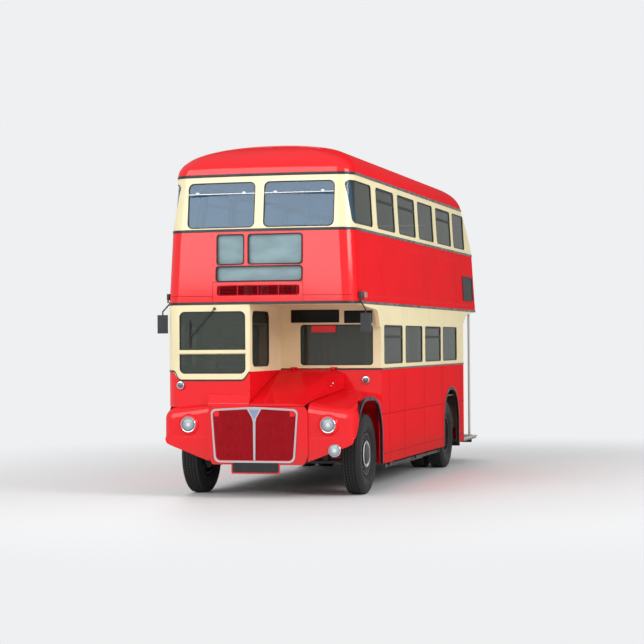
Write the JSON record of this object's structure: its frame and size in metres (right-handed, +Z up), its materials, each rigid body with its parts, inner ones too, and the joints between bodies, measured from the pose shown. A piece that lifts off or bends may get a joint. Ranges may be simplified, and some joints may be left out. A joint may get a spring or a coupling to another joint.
{
  "type": "double-decker bus",
  "caption": "Half-cab double-decker bus with front engine, open rear platform, steered front wheels, opening bonnet, sliding cab door and drop-down emergency window.",
  "frame": {"origin": "on the ground under the centre of the bounding box", "axes": "+Z up, -Y towards the front, +X towards the nearside (the kerb side, with the open platform)"},
  "size_m": [2.732, 8.395, 4.382],
  "materials": {
    "red_paint": "gloss",
    "cream_paint": "gloss",
    "dark_paint": "satin",
    "glass": "clear",
    "chrome": "polished",
    "tyre": "matt",
    "wheel_metal": "satin",
    "cast_metal": "as cast",
    "floor_wood": "worn",
    "seat_cloth": "woven",
    "rail_metal": "polished",
    "mesh_paint": "satin",
    "lamp_glass": "clear",
    "blind": "matt",
    "black_plastic": "satin"
  },
  "bodies": {
    "body": {"side_skirts": "red_paint", "window_walls": "cream_paint", "bulkheads": "cream_paint", "lower_floor": "floor_wood", "platform_floor": "dark_paint", "upper_floor": "floor_wood", "rear_lower_wall": "red_paint", "staircase": "dark_paint", "upper_panels": "red_paint", "upper_window_band": "cream_paint", "upper_glass": "glass", "hinge_brackets": "dark_paint", "roof": "red_paint", "destination_blinds": "blind", "intake_grille": "mesh_paint", "cab_shell": "cream_paint", "lower_glass": "glass", "cab_floor": "dark_paint", "wings": "red_paint", "nose_panel": "red_paint", "grille_surround": "chrome", "grille_mesh": "mesh_paint", "front_suspension": "cast_metal", "rear_axle": "cast_metal", "underframe": "dark_paint", "engine": "cast_metal", "transmission": "cast_metal", "exhaust": "dark_paint", "fuel_tank": "dark_paint", "lifeguards": "dark_paint", "lower_seats": "seat_cloth", "upper_seats": "seat_cloth", "seat_frames": "rail_metal", "driver_seat": "seat_cloth", "steering_column": "black_plastic", "handrails": "rail_metal", "headlamps": "lamp_glass", "small_lamps": "lamp_glass", "mirrors": "black_plastic", "wiper": "black_plastic"},
    "bonnet": {"bonnet": "red_paint"},
    "cab_door": {"cab_door": "red_paint", "cab_door_glass": "glass"},
    "emergency_window": {"emergency_window": "red_paint", "emergency_glass": "glass"},
    "knuckle_nearside": {"knuckle_nearside": "cast_metal"},
    "knuckle_offside": {"knuckle_offside": "cast_metal"},
    "track_rod": {"track_rod": "cast_metal"},
    "front_wheel_nearside": {"front_tyre_nearside": "tyre", "front_rim_nearside": "wheel_metal"},
    "front_wheel_offside": {"front_tyre_offside": "tyre", "front_rim_offside": "wheel_metal"},
    "rear_wheels_nearside": {"rear_tyres_nearside": "tyre", "rear_rims_nearside": "wheel_metal"},
    "rear_wheels_offside": {"rear_tyres_offside": "tyre", "rear_rims_offside": "wheel_metal"}
  },
  "joints": [
    {"name": "steer_nearside", "type": "hinge", "parent": "body", "child": "knuckle_nearside", "pos_m": [0.85, -3.2275, 0.5], "axis": [0, 0, 1], "range_deg": [-35, 35]},
    {"name": "steer_offside", "type": "hinge", "parent": "body", "child": "knuckle_offside", "pos_m": [-0.85, -3.2275, 0.5], "axis": [0, 0, 1], "range_deg": [-35, 35]},
    {"name": "track_rod_turn", "type": "hinge", "parent": "knuckle_nearside", "child": "track_rod", "pos_m": [0.85, -3.0525, 0.416], "axis": [0, 0, 1], "range_deg": [-35, 35]},
    {"name": "front_wheel_spin_nearside", "type": "hinge", "parent": "knuckle_nearside", "child": "front_wheel_nearside", "pos_m": [1.03, -3.2275, 0.5], "axis": [1, 0, 0], "continuous": true},
    {"name": "front_wheel_spin_offside", "type": "hinge", "parent": "knuckle_offside", "child": "front_wheel_offside", "pos_m": [-1.03, -3.2275, 0.5], "axis": [1, 0, 0], "continuous": true},
    {"name": "rear_wheels_spin_nearside", "type": "hinge", "parent": "body", "child": "rear_wheels_nearside", "pos_m": [0.8825, 1.9035, 0.5], "axis": [1, 0, 0], "continuous": true},
    {"name": "rear_wheels_spin_offside", "type": "hinge", "parent": "body", "child": "rear_wheels_offside", "pos_m": [-0.8825, 1.9035, 0.5], "axis": [1, 0, 0], "continuous": true},
    {"name": "bonnet_hinge", "type": "hinge", "parent": "body", "child": "bonnet", "pos_m": [0.335, -2.7775, 1.57], "axis": [-1, 0, 0], "range_deg": [0, 45]},
    {"name": "cab_door_slide", "type": "slide", "parent": "body", "child": "cab_door", "axis": [0, 1, 0], "range_m": [0, 0.5]},
    {"name": "emergency_window_hinge", "type": "hinge", "parent": "body", "child": "emergency_window", "pos_m": [0, 4.183, 3.333], "axis": [-1, 0, 0], "range_deg": [0, 90]}
  ],
  "couplings": [
    {"joint": "steer_offside", "follows": "steer_nearside", "ratio": 1},
    {"joint": "track_rod_turn", "follows": "steer_nearside", "ratio": -1}
  ]
}
